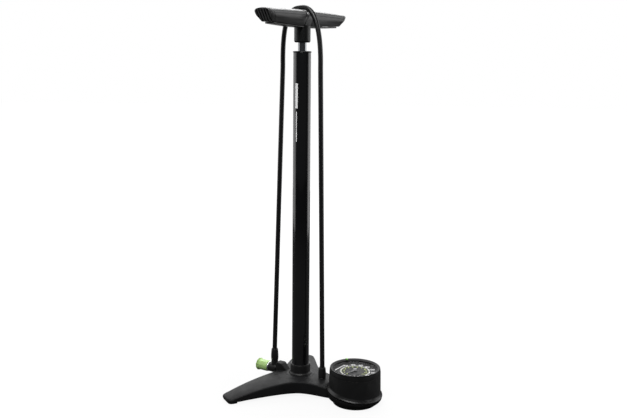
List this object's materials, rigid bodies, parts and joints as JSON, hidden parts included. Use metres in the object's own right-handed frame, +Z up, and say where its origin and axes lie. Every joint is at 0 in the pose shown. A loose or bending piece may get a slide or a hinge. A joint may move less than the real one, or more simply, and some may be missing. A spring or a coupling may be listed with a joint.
{
  "type": "floor bike pump",
  "caption": "Floor pump: tripod base with a dial gauge, tall barrel, sliding rod with a T handle, and a hose stowed over the handle to a docked chuck.",
  "frame": {"origin": "on the floor plane, on the barrel's axis, 2.2 mm under the flat face under the base's hub", "axes": "+Z up along the barrel; +Y along the rear leg; the gauge leg points 30 degrees below +X and the chuck is docked at 150 degrees from +X"},
  "size_m": [0.2991, 0.2698, 0.725],
  "materials": {
    "enamel": "satin powder coat",
    "gloss_black": "gloss",
    "satin_grip": "satin",
    "black_moulding": "fine texture",
    "rubber": "matte",
    "chrome_rod": "polished",
    "zinc": "plated",
    "brass": "machined",
    "dial_print": "printed",
    "clear_lens": "clear",
    "green_marker": "satin",
    "green_knob": "satin",
    "silver_ring": "turned",
    "needle_grey": "satin",
    "white_moulding": "satin"
  },
  "bodies": {
    "base": {"base_casting": "enamel", "foot_pad_rear": "rubber", "foot_pad_left": "rubber", "foot_pad_gauge": "rubber", "dock_peg": "black_moulding", "barrel": "gloss_black", "barrel_collar": "black_moulding", "barrel_gasket": "rubber", "valve_seat": "zinc", "check_valve_spring": "zinc", "hose_outlet": "zinc", "hose_ferrule_base": "black_moulding", "hose": "rubber", "top_cap": "black_moulding", "rod_bush": "brass", "rod_wiper": "rubber", "gauge_housing": "black_moulding", "gauge_dial": "dial_print", "gauge_lens": "clear_lens", "gauge_socket": "brass", "bourdon_tube": "brass", "movement_plate_lower": "brass", "movement_plate_upper": "brass", "movement_pillar_a": "brass", "movement_pillar_b": "brass"},
    "piston": {"piston_head": "white_moulding", "piston_seal": "rubber"},
    "plunger": {"piston_rod": "chrome_rod", "piston_nut": "zinc", "stop_bumper": "rubber", "handle_core": "black_moulding", "handle_grip_left": "satin_grip", "handle_grip_right": "satin_grip", "end_cap_left": "satin_grip", "end_cap_right": "satin_grip", "handle_bolt": "zinc"},
    "valve": {"check_valve_disc": "rubber"},
    "chuck": {"chuck_body": "black_moulding", "chuck_collar": "silver_ring", "hose_ferrule_chuck": "black_moulding"},
    "knob": {"chuck_knob": "green_knob"},
    "gland": {"chuck_gland": "rubber", "chuck_pusher": "black_moulding"},
    "bezel": {"gauge_bezel": "black_moulding", "bezel_marker": "green_marker"},
    "sector": {"sector_gear": "brass", "sector_shaft": "brass"},
    "pointer": {"needle_spindle": "brass", "gauge_needle": "needle_grey"},
    "link": {"gauge_link": "brass"}
  },
  "joints": [
    {"name": "rod_slide", "type": "slide", "parent": "base", "child": "piston", "axis": [0, 0, 1], "range_m": [-0.0145, 0.543], "deforming": ["hose"]},
    {"name": "handle_swivel", "type": "hinge", "parent": "piston", "child": "plunger", "pos_m": [0, 0, 0.0435], "axis": [0, 0, 1], "range_deg": [-11, 11]},
    {"name": "valve_lift", "type": "slide", "parent": "base", "child": "valve", "axis": [0, 0, -1], "range_m": [0, 0.0015], "stiffness_N_per_m": 200, "deforming": ["check_valve_spring"]},
    {"name": "chuck_undock", "type": "slide", "parent": "base", "child": "chuck", "axis": [-0.866, 0.5, 0], "range_m": [0, 0.015]},
    {"name": "knob_twist", "type": "hinge", "parent": "chuck", "child": "knob", "pos_m": [-0.05283, 0.0305, 0.0272], "axis": [-0.866, 0.5, 0], "range_deg": [0, 90]},
    {"name": "gland_press", "type": "slide", "parent": "chuck", "child": "gland", "axis": [0.866, -0.5, 0], "range_m": [0, 0.0006]},
    {"name": "bezel_turn", "type": "hinge", "parent": "base", "child": "bezel", "pos_m": [0.10565, -0.061, 0.06], "axis": [0, 0, 1], "continuous": true},
    {"name": "sector_turn", "type": "hinge", "parent": "base", "child": "sector", "pos_m": [0.13026, -0.061, 0.039], "axis": [0, 0, 1], "range_deg": [0, 45]},
    {"name": "needle_turn", "type": "hinge", "parent": "base", "child": "pointer", "pos_m": [0.10565, -0.061, 0.04], "axis": [0, 0, 1], "range_deg": [-270, 0]},
    {"name": "link_swing", "type": "hinge", "parent": "sector", "child": "link", "pos_m": [0.13351, -0.06663, 0.0415], "axis": [0, 0, 1], "range_deg": [-45, 0]}
  ],
  "couplings": [
    {"joint": "gland_press", "follows": "knob_twist", "m_per_rad": 0.00038},
    {"joint": "needle_turn", "follows": "sector_turn", "ratio": -6},
    {"joint": "link_swing", "follows": "sector_turn", "ratio": -1}
  ]
}
